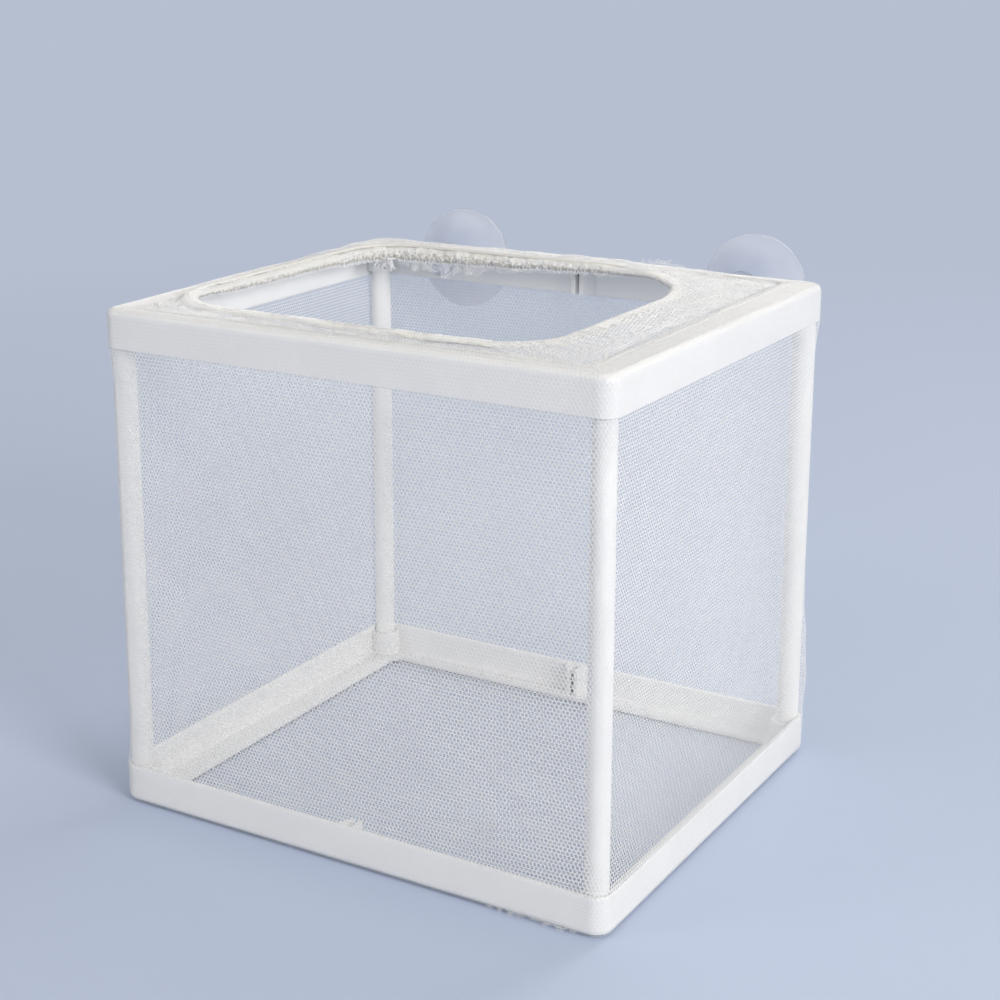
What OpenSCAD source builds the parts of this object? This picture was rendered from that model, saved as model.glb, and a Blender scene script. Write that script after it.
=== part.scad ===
// Fish breeding box: a knock-down plastic frame inside a net bag, hung on glass by two suction cups.
// Origin: centre of the bottom net's underside. +X runs along the long side, +Y towards the glass, +Z up.

/* [Overall] */
// Width over the net, along X
box_w = 160; // [120:1:240]
// Depth over the net, front to back
box_d = 140; // [110:1:200]
// Height from the bottom net's underside to the top of the hem
box_h = 150; // [100:1:220]

/* [Rings] */
// Height of each ring's wall, its flange included
rail_h = 11; // [9:0.5:16]
// Thickness of a ring's wall
wall_t = 1.6; // [1.2:0.1:2.4]
// Thickness of a ring's flange
flange_t = 1.5; // [1.2:0.1:2.5]
// Width of the flange along the long rails, from the ring's outer face
long_flange_w = 6.5; // [5.5:0.5:12]
// Width of the flange along the short rails, from the ring's outer face
short_flange_w = 10; // [9.5:0.5:16]
// Radius of the ring's four upright outer corners
corner_r = 4.8; // [4:0.1:8]
// Radius of the fillet where a ring's wall meets the outer side of its flange
edge_r = 1.8; // [0.8:0.1:2.2]
// Radius of the fillet inside the angle of wall and flange
inner_fillet_r = 1.2; // [0.4:0.1:1.6]
// Radius of the flange opening's corners
opening_r = 3; // [1:0.5:6]
// Radius that softens the wall's free edge
free_edge_r = 0.5; // [0.2:0.1:0.6]

/* [Posts and sockets] */
// Diameter of a corner post
post_d = 6.5; // [5:0.1:7]
// Least plastic between a socket's bore and the ring's outer face
socket_outer_t = 0.85; // [0.6:0.05:2]
// Distance from the ring's free edge down to a socket's mouth
socket_drop = 1.7; // [0.5:0.1:4]
// Thickness of a socket's wall
socket_t = 1.6; // [1:0.1:2]
// Radial clearance between a post and its socket
post_gap = 0.1; // [0.05:0.01:0.2]

/* [Divider clips] */
// Width of the slot that holds a divider panel
clip_slot = 1.4; // [1:0.1:2.5]
// Width of each prong beside the slot
clip_w = 4.2; // [3:0.1:8]
// Width of a prong's blunt nose
clip_nose_w = 1.2; // [0.8:0.1:2]
// Reach of a prong from the rail's inner face
clip_reach = 4.4; // [2.5:0.1:4.8]

/* [Net bag] */
// Thickness of the net
net_t = 0.5; // [0.3:0.05:0.8]
// Clearance between the net and the rings it is stretched over
net_gap = 0.2; // [0.1:0.05:0.4]
// Openings across each panel. The real mesh has 1 mm holes, and this plain grid stands for it
net_columns = 12; // [4:2:12]
// Openings up each side panel, or from front to back in the bottom panel
net_rows = 10; // [4:2:12]
// Width of the net left between two openings
net_strip_w = 2.7; // [1:0.1:4]
// Distance from the box's left side to the mouth
mouth_left = 11; // [7.5:0.5:30]
// Distance from the box's right side to the mouth
mouth_right = 29; // [7.5:0.5:36]
// Distance from the box's front to the mouth
mouth_front = 14.5; // [7.5:0.5:32]
// Distance from the box's back to the mouth
mouth_back = 14.5; // [7.5:0.5:32]
// Radius of the mouth's front left corner
mouth_fl_r = 24; // [6:1:28]
// Radius of the mouth's front right corner
mouth_fr_r = 16; // [6:1:24]
// Radius of the mouth's back right corner
mouth_br_r = 42; // [6:1:44]
// Radius of the mouth's back left corner
mouth_bl_r = 14; // [6:1:24]
// Width of the gathered hem round the mouth
hem_w = 4; // [3:0.1:4.4]
// Height of the gathered hem
hem_h = 2; // [1.8:0.1:3]
// Radius that rounds the hem's edges
hem_round_r = 0.9; // [0.3:0.1:0.9]
// Diameter of the elastic cord inside the hem
elastic_d = 1; // [0.6:0.1:1]
// Clearance round the elastic cord
elastic_gap = 0.15; // [0.05:0.05:0.2]

/* [Suction cups] */
// Distance from the box's side to the axis of the cup nearest to it
cup_inset = 28; // [19:1:40]
// Distance from the top ring's flange down to a cup's axis
cup_drop = 4.3; // [4:0.1:4.8]
// Diameter of a cup's rim
cup_d = 33; // [26:1:44]
// Depth of a cup's dish
cup_dish_h = 6.5; // [4:0.5:10]
// Thickness of a cup's dish at its rim
cup_rim_t = 1.2; // [0.8:0.1:2]
// Width of the flat annulus that meets the glass
cup_lip_w = 1.4; // [0.8:0.1:3]
// Diameter of a cup's stem, where it passes through the rail
cup_stem_d = 5; // [3.5:0.1:5.4]
// Diameter of the mushroom head that holds a cup in the rail
cup_head_d = 7.6; // [6.4:0.1:8]
// Thickness of the mushroom head
cup_head_t = 3; // [2:0.1:4]
// Diameter of a cup's shoulder, outside the net
cup_shoulder_d = 13; // [9:0.5:16]
// Thickness of a cup's shoulder
cup_shoulder_t = 1.5; // [1:0.1:3]
// Diameter of a cup's waist, between its shoulder and its dish
cup_waist_d = 10; // [7:0.1:12]
// Length of a cup's waist
cup_waist_h = 3; // [1:0.1:5]
// Radial clearance between a cup's stem and its hole
stem_gap = 0.1; // [0.05:0.01:0.2]
// End clearance between a cup and what it is buttoned through
cup_end_gap = 0.3; // [0.1:0.05:0.5]

/* [Hidden] */
$fn = 64;

frame_white = [0.93, 0.94, 0.95];
net_white = [0.90, 0.91, 0.95];
hem_cream = [0.90, 0.89, 0.86];
elastic_white = [0.85, 0.85, 0.83];
cup_clear = [0.62, 0.66, 0.82, 0.6];

// The rings lie inside the net, with a clearance all round.
skin = net_t + net_gap;
ring_w = box_w - 2 * skin;
ring_d = box_d - 2 * skin;
ring_bottom = skin;
ring_top = box_h - hem_h - net_gap;

// The net's outer corner and edge follow the ring's.
net_corner_r = corner_r + skin;
net_edge_r = edge_r + skin;
net_top = ring_top + skin;

// A socket's bore keeps its outer wall both beside the ring's faces and at its round corner.
socket_r = post_d / 2 + post_gap;
socket_h = rail_h - flange_t - socket_drop;
post_inset = max(socket_r + socket_outer_t, corner_r - (corner_r - socket_r - socket_outer_t) / sqrt(2));
post_x = ring_w / 2 - post_inset;
post_y = ring_d / 2 - post_inset;
post_bottom = ring_bottom + flange_t;
post_top = ring_top - flange_t;

// What the posts and the rings leave open of the bag's sides.
post_cover = skin + post_inset + post_d / 2;
window_bottom = ring_bottom + rail_h;
window_h = ring_top - rail_h - window_bottom;

// The mouth's corners, counter-clockwise from the front left, each with its radius.
mouth = [[-box_w / 2 + mouth_left, -box_d / 2 + mouth_front, mouth_fl_r],
         [box_w / 2 - mouth_right, -box_d / 2 + mouth_front, mouth_fr_r],
         [box_w / 2 - mouth_right, box_d / 2 - mouth_back, mouth_br_r],
         [-box_w / 2 + mouth_left, box_d / 2 - mouth_back, mouth_bl_r]];
hem_bottom = ring_top + net_gap;

cup_x = box_w / 2 - cup_inset;
cup_z = ring_top - flange_t - cup_drop;
rail_back_y = ring_d / 2;
cup_head_y = rail_back_y - wall_t - cup_end_gap;
cup_shoulder_y = box_d / 2 + cup_end_gap;
cup_dish_y = cup_shoulder_y + cup_shoulder_t + cup_waist_h;
cup_rim_y = cup_dish_y + cup_dish_h + cup_rim_t;
stem_hole_r = cup_stem_d / 2 + stem_gap;

// How the dish flares: 1 is a plain cone, and more is flatter at the rim.
dish_power = 1.35;
// How far a cut runs past the face that it opens.
overlap = 0.5;

// A rectangle about the origin with round corners.
module rounded_rectangle(w, d, r) {
    difference() {
        square([w, d], center = true);
        for (sx = [-1, 1], sy = [-1, 1])
            translate([sx * (w / 2 - r), sy * (d / 2 - r)])
                scale([sx, sy])
                    square(r + overlap);
    }
    for (sx = [-1, 1], sy = [-1, 1])
        translate([sx * (w / 2 - r), sy * (d / 2 - r)])
            circle(r);
}

// What a round edge takes off a square corner at the origin, whose material lies towards +X and +Y.
module round_off(r) {
    difference() {
        translate([-overlap, -overlap])
            square(r + overlap);
        translate([r, r])
            circle(r);
    }
}

// A profile swept along the front side. Its x runs inwards from the outline, and its y runs up.
module front_run(w, d, r) {
    translate([0, -d / 2, 0])
        rotate([90, 0, 90])
            linear_extrude(w - 2 * r, center = true)
                children();
}

// A profile swept round one corner of a rounded outline.
module corner_run(r, from, angle) {
    rotate([0, 0, from])
        rotate_extrude(angle = angle)
            translate([r, 0])
                mirror([1, 0])
                    children();
}

// A profile swept round the whole of a rounded rectangle.
module ring_run(w, d, r) {
    for (turn = [0, 180])
        rotate([0, 0, turn]) {
            front_run(w, d, r)
                children();
            rotate([0, 0, 90])
                front_run(d, w, r)
                    children();
        }
    for (sx = [-1, 1], sy = [-1, 1])
        translate([sx * (w / 2 - r), sy * (d / 2 - r), 0])
            corner_run(r, sx > 0 ? (sy > 0 ? 0 : 270) : (sy > 0 ? 90 : 180), 90)
                children();
}

// The ring's wall in section, with the start of its flange.
module wall_section() {
    foot_w = wall_t + inner_fillet_r;
    difference() {
        union() {
            square([wall_t, rail_h]);
            square([foot_w, flange_t]);
            translate([wall_t, flange_t])
                difference() {
                    square(inner_fillet_r);
                    translate([inner_fillet_r, inner_fillet_r])
                        circle(inner_fillet_r);
                }
        }
        round_off(edge_r);
        translate([0, rail_h])
            mirror([0, 1])
                round_off(free_edge_r);
        translate([wall_t, rail_h])
            rotate(180)
                round_off(free_edge_r);
    }
}

module flange_plate() {
    linear_extrude(flange_t)
        difference() {
            rounded_rectangle(ring_w - 2 * edge_r, ring_d - 2 * edge_r, corner_r - edge_r);
            rounded_rectangle(ring_w - 2 * short_flange_w, ring_d - 2 * long_flange_w, opening_r);
        }
}

// The four round sockets, which the ring's wall closes on its outer side.
module sockets() {
    intersection() {
        for (sx = [-1, 1], sy = [-1, 1])
            translate([sx * post_x, sy * post_y, 0])
                cylinder(h = flange_t + socket_h, r = socket_r + socket_t);
        translate([0, 0, flange_t / 2])
            linear_extrude(rail_h)
                rounded_rectangle(ring_w - wall_t, ring_d - wall_t, corner_r - wall_t / 2);
    }
}

// Two prongs with a slot between them, in the middle of each long rail.
module divider_clips() {
    root_y = ring_d / 2 - wall_t / 2;
    nose_y = ring_d / 2 - wall_t - clip_reach;
    for (sy = [-1, 1], sx = [-1, 1])
        scale([sx, sy, 1])
            translate([0, 0, flange_t / 2])
                linear_extrude(rail_h - free_edge_r - flange_t / 2)
                    polygon([[clip_slot / 2, root_y], [clip_slot / 2, nose_y],
                             [clip_slot / 2 + clip_nose_w, nose_y], [clip_slot / 2 + clip_w, root_y]]);
}

// One moulded ring, flange down, standing on z = 0.
module ring() {
    difference() {
        union() {
            ring_run(ring_w, ring_d, corner_r)
                wall_section();
            flange_plate();
            sockets();
            divider_clips();
        }
        for (sx = [-1, 1], sy = [-1, 1])
            translate([sx * post_x, sy * post_y, flange_t])
                cylinder(h = rail_h, r = socket_r);
    }
}

module bottom_ring() {
    color(frame_white)
        translate([0, 0, ring_bottom])
            ring();
}

// The same moulding turned over, with two holes for the cups' stems in its back wall.
module top_ring() {
    color(frame_white)
        difference() {
            translate([0, 0, ring_top])
                mirror([0, 0, 1])
                    ring();
            for (side = [-1, 1])
                translate([side * cup_x, rail_back_y + overlap, cup_z])
                    rotate([90, 0, 0])
                        cylinder(h = wall_t + 2 * overlap, r = stem_hole_r);
        }
}

module post(side_x, side_y) {
    color(frame_white)
        translate([side_x * post_x, side_y * post_y, post_bottom])
            cylinder(h = post_top - post_bottom, d = post_d);
}

// The net wall in section: it bends in over the top ring's edge and under the bottom ring's.
module net_section() {
    translate([0, net_edge_r])
        square([net_t, net_top - 2 * net_edge_r]);
    for (end = [[0, net_edge_r], [1, net_top - net_edge_r]])
        translate([net_edge_r, end[1]])
            mirror([0, end[0]])
                intersection() {
                    difference() {
                        circle(net_edge_r);
                        circle(net_edge_r - net_t);
                    }
                    translate([-net_edge_r, -net_edge_r])
                        square(net_edge_r);
                }
}

// The net's openings, spread over a window about the origin.
module net_openings(w, h) {
    pitch = [w / net_columns, h / net_rows];
    for (i = [0:net_columns - 1], j = [0:net_rows - 1])
        translate([(i + 0.5) * pitch[0] - w / 2, (j + 0.5) * pitch[1] - h / 2])
            square([pitch[0] - net_strip_w, pitch[1] - net_strip_w], center = true);
}

// The front side of the bag, out to the middle of the corners at its two ends.
module net_wall(w, d) {
    centre = [w / 2 - net_corner_r, d / 2 - net_corner_r];
    far = net_corner_r + overlap;
    difference() {
        intersection() {
            ring_run(w, d, net_corner_r)
                net_section();
            linear_extrude(box_h)
                polygon([[-centre[0] - far, -centre[1] - far], [centre[0] + far, -centre[1] - far],
                         [centre[0], -centre[1]], [-centre[0], -centre[1]]]);
        }
        translate([0, -d / 2 + net_t + overlap, window_bottom + window_h / 2])
            rotate([90, 0, 0])
                linear_extrude(net_t + 2 * overlap)
                    net_openings(w - 2 * post_cover, window_h);
    }
}

module front_net() {
    color(net_white)
        net_wall(box_w, box_d);
}

module right_net() {
    color(net_white)
        rotate([0, 0, 90])
            net_wall(box_d, box_w);
}

module left_net() {
    color(net_white)
        rotate([0, 0, -90])
            net_wall(box_d, box_w);
}

// The back net, with two holes for the cups' stems.
module back_net() {
    color(net_white)
        difference() {
            rotate([0, 0, 180])
                net_wall(box_w, box_d);
            for (side = [-1, 1])
                translate([side * cup_x, box_d / 2 + overlap, cup_z])
                    rotate([90, 0, 0])
                        cylinder(h = net_t + 2 * overlap, r = stem_hole_r);
        }
}

module net_flat_outline() {
    rounded_rectangle(box_w - 2 * net_edge_r, box_d - 2 * net_edge_r, net_corner_r - net_edge_r);
}

// The bottom net, open inside the bottom ring's flange.
module bottom_net() {
    color(net_white)
        linear_extrude(net_t)
            difference() {
                net_flat_outline();
                net_openings(ring_w - 2 * short_flange_w, ring_d - 2 * long_flange_w);
            }
}

// The centre of a mouth corner's arc. Corner i's arc starts at an angle of 180 + 90 * i.
function mouth_centre(i) = [mouth[i][0] + (i == 0 || i == 3 ? 1 : -1) * mouth[i][2],
                            mouth[i][1] + (i < 2 ? 1 : -1) * mouth[i][2]];

// The distance between the tangent points on the mouth's side from corner i to the next.
function mouth_run(i) = norm([mouth[(i + 1) % 4][0] - mouth[i][0], mouth[(i + 1) % 4][1] - mouth[i][1]])
                        - mouth[i][2] - mouth[(i + 1) % 4][2];

// The mouth's outline, grown outwards.
module mouth_outline(grow) {
    difference() {
        translate([mouth[0][0] - grow, mouth[0][1] - grow])
            square([mouth[2][0] - mouth[0][0] + 2 * grow, mouth[2][1] - mouth[0][1] + 2 * grow]);
        for (i = [0:3])
            translate(mouth_centre(i))
                rotate(180 + 90 * i)
                    square(mouth[i][2] + grow + overlap);
    }
    for (i = [0:3])
        translate(mouth_centre(i))
            circle(mouth[i][2] + grow);
}

// A profile swept round the mouth. Its x runs outwards from the mouth's edge, and its y runs up.
module mouth_sweep() {
    for (i = [0:3])
        translate(concat(mouth_centre(i), 0)) {
            rotate([0, 0, 180 + 90 * i])
                rotate_extrude(angle = 90)
                    translate([mouth[i][2], 0])
                        children();
            rotate([0, 0, 90 * i])
                translate([0, -mouth[i][2], 0])
                    rotate([90, 0, 90])
                        linear_extrude(mouth_run(i))
                            mirror([1, 0])
                                children();
        }
}

// The net that covers the top ring, from its edge to the hem.
module top_net() {
    color(net_white)
        translate([0, 0, net_top - net_t])
            linear_extrude(net_t)
                difference() {
                    net_flat_outline();
                    mouth_outline(hem_w);
                }
}

// The gathered hem: a sewn channel round the mouth, hollow for its elastic.
module mouth_hem() {
    color(hem_cream)
        translate([0, 0, hem_bottom])
            mouth_sweep()
                difference() {
                    square([hem_w, hem_h]);
                    round_off(hem_round_r);
                    translate([0, hem_h])
                        mirror([0, 1])
                            round_off(hem_round_r);
                    translate([hem_w, hem_h])
                        rotate(180)
                            round_off(hem_round_r);
                    translate([hem_w / 2, hem_h / 2])
                        circle(elastic_d / 2 + elastic_gap);
                }
}

module mouth_elastic() {
    color(elastic_white)
        translate([0, 0, hem_bottom])
            mouth_sweep()
                translate([hem_w / 2, hem_h / 2])
                    circle(elastic_d / 2);
}

// A point on the back of a cup's dish, from its waist at t = 0 to its rim at t = 1.
function dish_point(waist_r, rim_r, t) =
    [waist_r + (rim_r - waist_r) * t, cup_dish_y + cup_dish_h * (1 - pow(1 - t, dish_power))];

// A suction cup. Its dish flares from its waist to a flat rim.
module suction_cup(side) {
    steps = 10;
    rim_r = cup_d / 2;
    waist_r = cup_waist_d / 2;
    lip_t = cup_lip_w / (rim_r - waist_r);
    outer_dish = [for (i = [0:steps])
        dish_point(waist_r, rim_r, i / steps)];
    inner_dish = [for (i = [steps:-1:0])
        dish_point(waist_r, rim_r, (1 - lip_t) * i / steps) + [0, cup_rim_t]];
    color(cup_clear)
        translate([side * cup_x, 0, cup_z])
            rotate([-90, 0, 0])
                rotate_extrude()
                    polygon(concat([[0, cup_head_y - cup_head_t],
                                    [cup_head_d / 4, cup_head_y - cup_head_t],
                                    [cup_head_d / 2, cup_head_y - cup_head_t / 2],
                                    [cup_head_d / 2, cup_head_y],
                                    [cup_stem_d / 2, cup_head_y],
                                    [cup_stem_d / 2, cup_shoulder_y],
                                    [cup_shoulder_d / 2, cup_shoulder_y],
                                    [cup_shoulder_d / 2, cup_shoulder_y + cup_shoulder_t],
                                    [waist_r, cup_shoulder_y + cup_shoulder_t]],
                                   outer_dish,
                                   [[rim_r, cup_rim_y], [rim_r - cup_lip_w, cup_rim_y]],
                                   inner_dish, [[0, cup_dish_y + cup_rim_t]]));
}

module left_suction_cup() {
    suction_cup(-1);
}

module right_suction_cup() {
    suction_cup(1);
}

bottom_ring();
top_ring();
post(-1, -1);  // front_left_post
post(1, -1);  // front_right_post
post(-1, 1);  // back_left_post
post(1, 1);  // back_right_post
front_net();
right_net();
back_net();
left_net();
bottom_net();
top_net();
mouth_hem();
mouth_elastic();
left_suction_cup();
right_suction_cup();
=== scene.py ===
"""A fish breeding box: a white plastic frame inside a fine net bag, with two suction cups.

The frame, posts and elastic are the CAD nodes with moulded plastic and rubber materials.
The bag is real hexagonal netting, one strand at a time, gathered into a hem round the mouth.
"""

import math

import bpy
import numpy as np
from mathutils import Matrix, Vector


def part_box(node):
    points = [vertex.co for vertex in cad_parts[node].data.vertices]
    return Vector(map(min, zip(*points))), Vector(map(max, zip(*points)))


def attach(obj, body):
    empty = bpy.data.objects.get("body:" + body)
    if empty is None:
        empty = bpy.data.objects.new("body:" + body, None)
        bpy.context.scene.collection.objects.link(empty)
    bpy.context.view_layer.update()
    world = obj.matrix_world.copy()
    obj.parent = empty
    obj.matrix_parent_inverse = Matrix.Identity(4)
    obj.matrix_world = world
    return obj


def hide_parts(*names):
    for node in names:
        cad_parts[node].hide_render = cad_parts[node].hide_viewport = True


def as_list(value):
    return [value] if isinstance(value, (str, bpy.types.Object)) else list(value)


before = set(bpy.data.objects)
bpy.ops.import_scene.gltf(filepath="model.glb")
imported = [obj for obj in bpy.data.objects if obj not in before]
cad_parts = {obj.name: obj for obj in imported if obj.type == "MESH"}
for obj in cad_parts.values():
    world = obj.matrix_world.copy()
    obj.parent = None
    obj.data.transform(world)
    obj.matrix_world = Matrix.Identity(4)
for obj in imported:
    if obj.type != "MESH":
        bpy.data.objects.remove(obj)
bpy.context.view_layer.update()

MM = 0.001

# ---- sizes read from the frame

RING_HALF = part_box("top_ring")[1].xy
RING_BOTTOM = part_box("bottom_ring")[0].z
RING_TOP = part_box("top_ring")[1].z
RING_FREE_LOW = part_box("bottom_ring")[1].z
RING_FREE_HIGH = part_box("top_ring")[0].z
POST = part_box("front_right_post")
POST_R = (POST[1].x - POST[0].x) / 2
POST_AT = Vector((POST[1].x - POST_R, -(POST[0].y + POST_R)))
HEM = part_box("mouth_hem")
HEM_MIDDLE_Z = (HEM[0].z + HEM[1].z) / 2

# ---- sizes of the soft parts

RING_CORNER_R = 4.8 * MM
RING_EDGE_R = 1.8 * MM
# Where the top ring's flange ends and the net over it hangs free.
FLANGE_HALF = RING_HALF - Vector((10, 6.5)) * MM
NET_PITCH = 1.2 * MM
STRAND_W = 0.2 * MM
STRAND_T = 0.11 * MM
# How far the middle of the net lies from what it is stretched over.
REST = STRAND_T / 2 + 0.02 * MM
ROW = math.sqrt(3) / 2
# The mouth's corner radii, counter-clockwise from the front left.
MOUTH_RADII = (24 * MM, 16 * MM, 42 * MM, 14 * MM)
HEM_INSET = 2 * MM
GATHER_PITCH = (1.05 * MM, 1.0 * MM)
HEM_PITCH = 0.72 * MM
HEM_STRAND = (0.22 * MM, 0.2 * MM)


# ---- noise and outlines


def hashed(a, b, seed):
    """A number from 0 to 1 for each pair of whole numbers, the same on every run."""
    return np.abs(np.sin(a * 12.9898 + b * 78.233 + seed * 37.719) * 43758.5453) % 1


def smooth_noise(x, y, seed):
    """Value noise from -1 to 1 with features one unit apart."""
    x0, y0 = np.floor(x), np.floor(y)
    fx, fy = x - x0, y - y0
    fx = fx * fx * (3 - 2 * fx)
    fy = fy * fy * (3 - 2 * fy)
    low = hashed(x0, y0, seed) * (1 - fx) + hashed(x0 + 1, y0, seed) * fx
    high = hashed(x0, y0 + 1, seed) * (1 - fx) + hashed(x0 + 1, y0 + 1, seed) * fx
    return 2 * (low * (1 - fy) + high * fy) - 1


def ripple(s, size, seed, row=0):
    """Value noise from -1 to 1 along a line, with features of this size."""
    return smooth_noise(s / size, s * 0 + row, seed)


def bump(x, width):
    """A smooth hill of height 1 at x = 0."""
    return np.exp(-((x / width) ** 2))


def quads(a, b, c, d):
    """One face from each set of four point numbers."""
    return np.stack([a, b, c, d], -1).reshape(-1, 4)


class Outline:
    """A closed outline with four round corners, counter-clockwise from the middle of the front left one.

    corners holds (x, y, radius) for the front left, front right, back right and back left.
    Outlines made with the same step count match each other sample by sample.
    """

    STEPS = 24

    def __init__(self, corners):
        points, normals = [], []
        for i, (x, y, r) in enumerate(corners):
            centre = (x + (r if i in (0, 3) else -r), y + (r if i < 2 else -r))
            for k in range(self.STEPS + 1):
                a = math.radians(180 + 90 * i + 90 * k / self.STEPS)
                normals.append((math.cos(a), math.sin(a)))
                points.append((centre[0] + r * math.cos(a), centre[1] + r * math.sin(a)))
        middle = self.STEPS // 2
        points = points[middle:] + points[: middle + 1]
        normals = normals[middle:] + normals[: middle + 1]
        self.points = np.array(points)
        self.normals = np.array(normals)
        gaps = np.linalg.norm(np.diff(self.points, axis=0), axis=1)
        self.s = np.concatenate([[0], np.cumsum(gaps)])
        self.length = self.s[-1]
        # The middles of the four corners, where one side of the bag meets the next.
        self.corner_s = self.s[[k * (self.STEPS + 1) for k in range(4)] + [-1]]

    def at(self, s):
        """Points and outward normals at the distances s along the outline."""
        s = np.mod(s, self.length)
        xy = [np.interp(s, self.s, self.points[:, k]) for k in (0, 1)]
        n = [np.interp(s, self.s, self.normals[:, k]) for k in (0, 1)]
        size = np.hypot(*n)
        return np.stack(xy, -1), np.stack([n[0] / size, n[1] / size], -1)

    def to_corner(self, s):
        """How far each s is from the middle of the nearest corner."""
        return np.abs(np.mod(s, self.length)[..., None] - self.corner_s).min(-1)


def box_outline(half_x, half_y, radius):
    return Outline([(sx * half_x, sy * half_y, radius) for sx, sy in ((-1, -1), (1, -1), (1, 1), (-1, 1))])


def mouth_outline(grow):
    """The mouth's outline, grown outwards."""
    edge = 2 * HEM_INSET - grow
    xs = (HEM[0].x + edge, HEM[1].x - edge, HEM[1].x - edge, HEM[0].x + edge)
    ys = (HEM[0].y + edge, HEM[0].y + edge, HEM[1].y - edge, HEM[1].y - edge)
    return Outline([(x, y, r + grow) for x, y, r in zip(xs, ys, MOUTH_RADII)])


# ---- meshes


def add_object(name, data):
    obj = bpy.data.objects.new(name, data)
    bpy.context.scene.collection.objects.link(obj)
    return obj


def add_mesh(name, points, faces, material, smooth=True):
    """An object from points and faces of equal size."""
    faces = np.asarray(faces, np.int32)
    points = np.asarray(points, np.float32)
    mesh = bpy.data.meshes.new(name)
    mesh.vertices.add(len(points))
    mesh.vertices.foreach_set("co", points.ravel())
    mesh.loops.add(faces.size)
    mesh.loops.foreach_set("vertex_index", faces.ravel())
    mesh.polygons.add(len(faces))
    mesh.polygons.foreach_set("loop_start", np.arange(0, faces.size, faces.shape[1], dtype=np.int32))
    mesh.polygons.foreach_set("use_smooth", np.full(len(faces), smooth))
    mesh.update(calc_edges=True)
    mesh.materials.append(material)
    return add_object(name, mesh)


def on_box(obj, node=None):
    """Carries a piece on the box's body, in place of a CAD node where it stands for one."""
    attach(obj, "box")
    if node:
        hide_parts(node)
    return obj


# The six corners of a cell: half pitches across and thirds of a row up from its middle.
CELL_CORNERS = np.array([(1, 1), (0, 2), (-1, 1), (-1, -1), (0, -2), (1, -1)])


def net_cells(columns, rows):
    """The middles of the cells of a hexagonal net, in half pitches across and thirds of a row up."""
    i, j = np.meshgrid(np.arange(columns), np.arange(rows))
    return np.stack([(2 * i + j % 2).ravel(), (3 * j + 1).ravel()], -1)


def cell_places(cells, pitch):
    """How far across and up the middles of the cells lie, in metres."""
    return (cells * pitch / (2, 3)).T


def scattered(points, seeds):
    """A shift from -0.5 to 0.5 both ways for each point."""
    return np.stack([hashed(points[:, 0], points[:, 1], k) - 0.5 for k in seeds], -1)


def surface_normals(surface, u, v, step):
    """Unit normals of surface, which maps distances across and up to points in space."""
    across = surface(u + step, v) - surface(u - step, v)
    up = surface(u, v + step) - surface(u, v - step)
    n = np.cross(across, up)
    return n / np.maximum(np.linalg.norm(n, axis=-1, keepdims=True), 1e-12)


def add_net(name, cells, pitch, surface, material, strand=(STRAND_W, STRAND_T), untidy=0.05):
    """Netting laid on surface, every strand a solid with a diamond section.

    pitch is the distance between columns and between rows. Each cell is a ring of strands
    round a hole: its hole's corners lie in the net's middle, and the corners that it shares
    with its neighbours have a point on top and a point below.
    """
    corner = cells[:, None, :] + CELL_CORNERS
    # One number for each place finds the corners that cells share.
    key = corner[..., 1] * 100003 + corner[..., 0]
    _, first, node = np.unique(key, return_index=True, return_inverse=True)
    node = node.reshape(-1, 6)
    lattice = corner.reshape(-1, 2)[first].astype(float)
    unit = (pitch[0] / 2, pitch[1] / 3)
    nodes_uv = lattice * unit + scattered(lattice, (1, 2)) * untidy * pitch[0]
    middles = cells * unit + scattered(cells, (3, 4)) * untidy * pitch[0]
    hole = 1 - strand[0] / min(pitch)
    holes_uv = middles[:, None] + (nodes_uv[node] - middles[:, None]) * hole
    holes_uv = holes_uv.reshape(-1, 2)

    on_node = surface(nodes_uv[:, 0], nodes_uv[:, 1])
    normal = surface_normals(surface, nodes_uv[:, 0], nodes_uv[:, 1], 0.1 * min(pitch))
    top = on_node + normal * strand[1] / 2
    below = on_node - normal * strand[1] / 2
    inner = surface(holes_uv[:, 0], holes_uv[:, 1])
    points = np.concatenate([top, below, inner])

    n = len(on_node)
    following = np.roll(node, -1, axis=1)
    ring = 2 * n + np.arange(len(cells) * 6).reshape(-1, 6)
    ring_next = np.roll(ring, -1, axis=1)
    over = quads(ring, node, following, ring_next)
    under = quads(ring_next, following + n, node + n, ring)
    # Where a cell has no neighbour, a face closes the cut side of its strand.
    pair = np.sort(np.stack([node, following], -1).reshape(-1, 2), axis=1)
    _, back, count = np.unique(pair[:, 0] * (n + 1) + pair[:, 1], return_inverse=True, return_counts=True)
    edge = count[back.ravel()] == 1
    a, b = node.ravel()[edge], following.ravel()[edge]
    caps = quads(a, a + n, b + n, b)
    return add_mesh(name, points, np.concatenate([over, under, caps]), material, smooth=False)


def add_lathe(name, profile, material, segments=96):
    """A solid turned about its Y axis, from (radius, distance along Y) pairs from one end to the other."""
    angles = np.linspace(0, 2 * np.pi, segments, endpoint=False)
    r, along = np.array(profile).T
    outwards = np.stack([np.cos(angles), 0 * angles, np.sin(angles)], -1)
    points = outwards[:, None] * r[:, None] + along[:, None] * (0, 1, 0)
    grid = np.arange(segments * len(r)).reshape(segments, len(r))
    after = np.roll(grid, -1, axis=0)
    faces = quads(grid[:, :-1], grid[:, 1:], after[:, 1:], after[:, :-1])
    return add_mesh(name, points.reshape(-1, 3), faces, material)


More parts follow.
